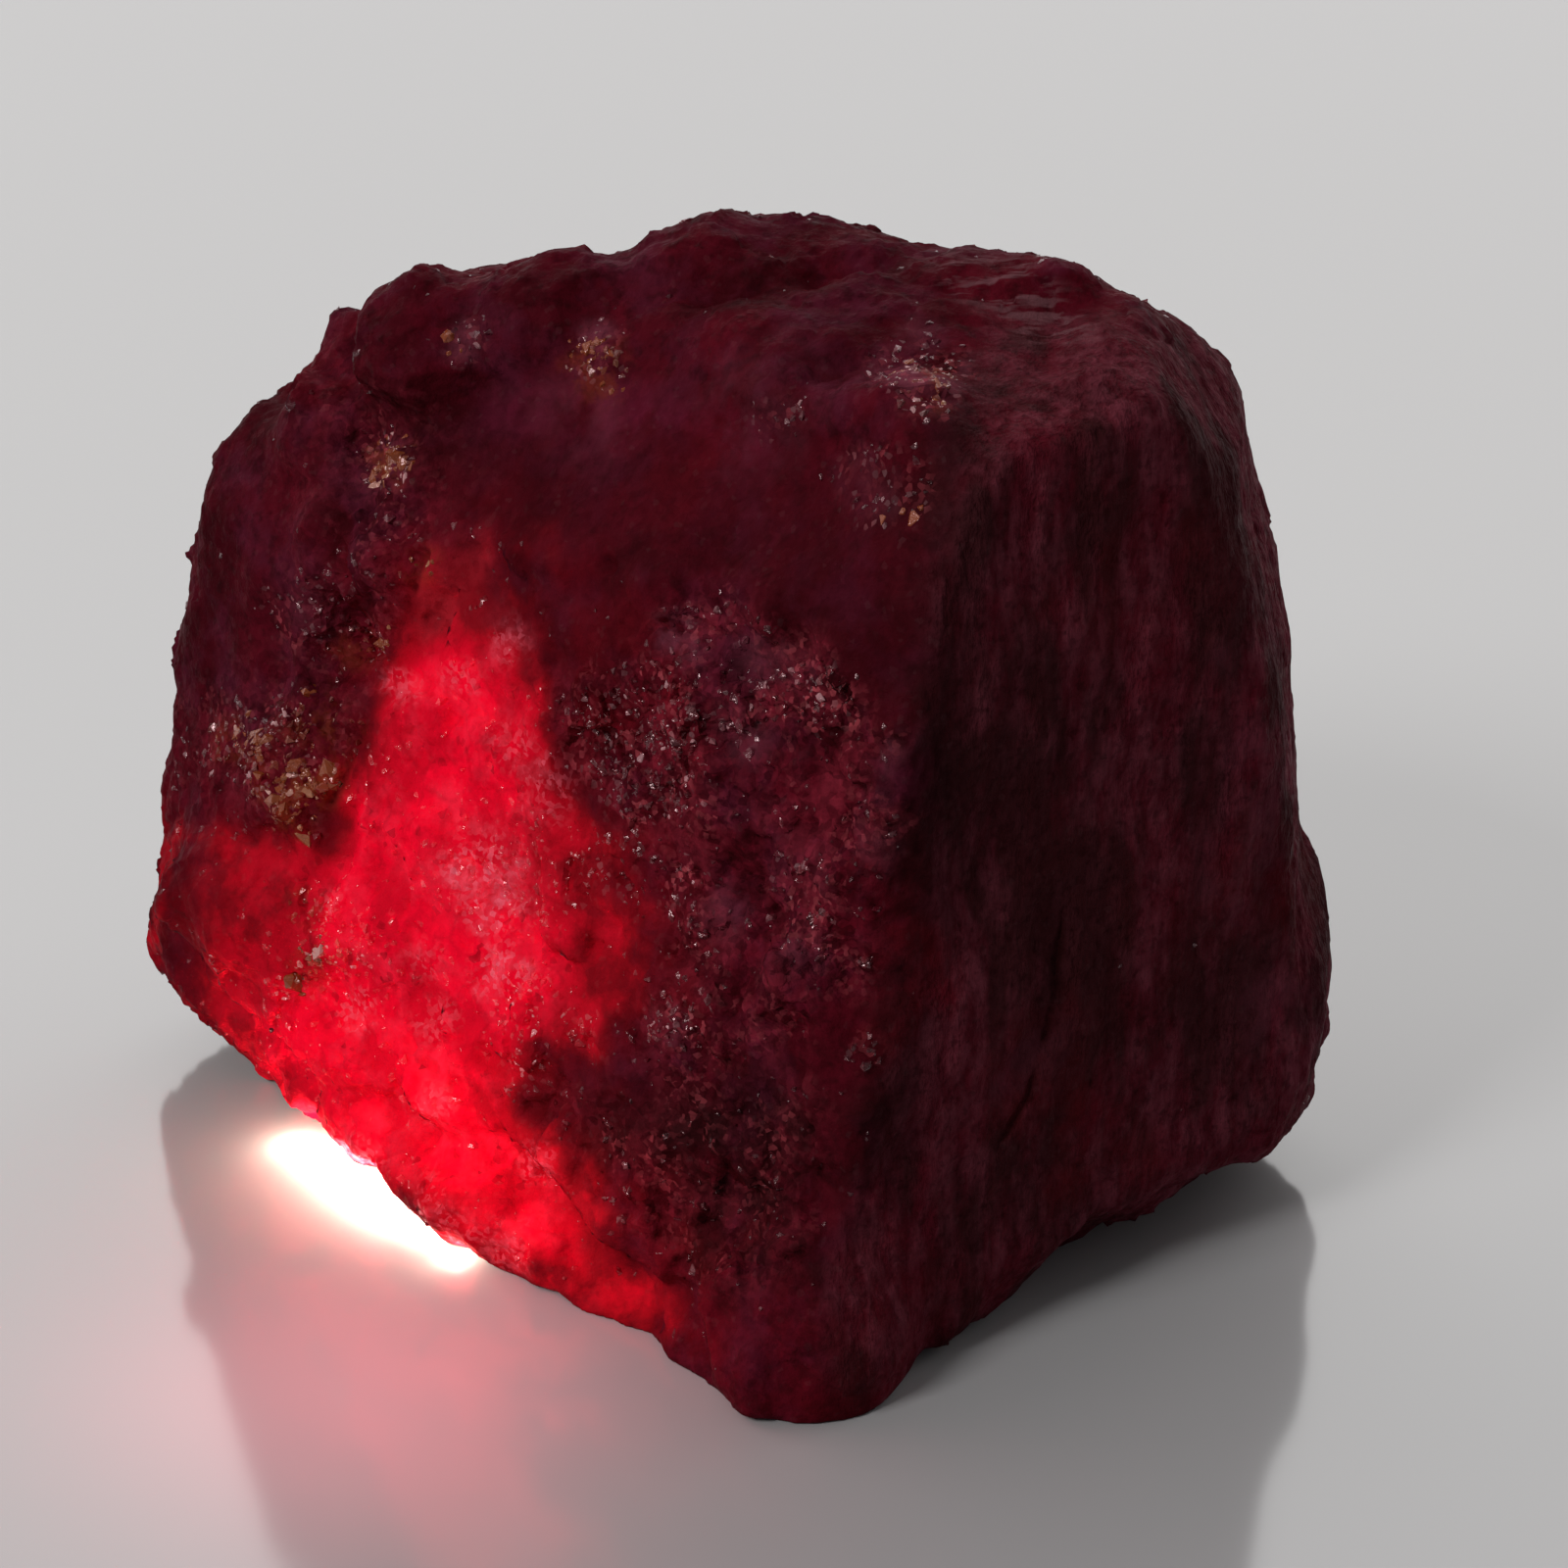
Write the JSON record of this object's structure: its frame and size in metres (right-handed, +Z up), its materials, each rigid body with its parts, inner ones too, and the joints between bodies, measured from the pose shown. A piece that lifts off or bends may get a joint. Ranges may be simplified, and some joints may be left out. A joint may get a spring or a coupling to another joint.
{
  "type": "rough ruby",
  "caption": "Chunky block of rough ruby with a streaked right face, a grainy left face under a smooth broken hollow, and a flat face to rest on.",
  "frame": {"origin": "on the surface the stone rests on, under the middle of its bounding box", "axes": "+Z up, +X to the right and +Y away from the viewer when the worn front edge between the streaked and the grainy face points at them"},
  "size_m": [0.0462, 0.0382, 0.036],
  "materials": {
    "ruby": "dark purplish red, waxy on the smooth faces and sugary where it broke"
  },
  "bodies": {
    "root": {"rough_ruby": "ruby"}
  },
  "joints": []
}
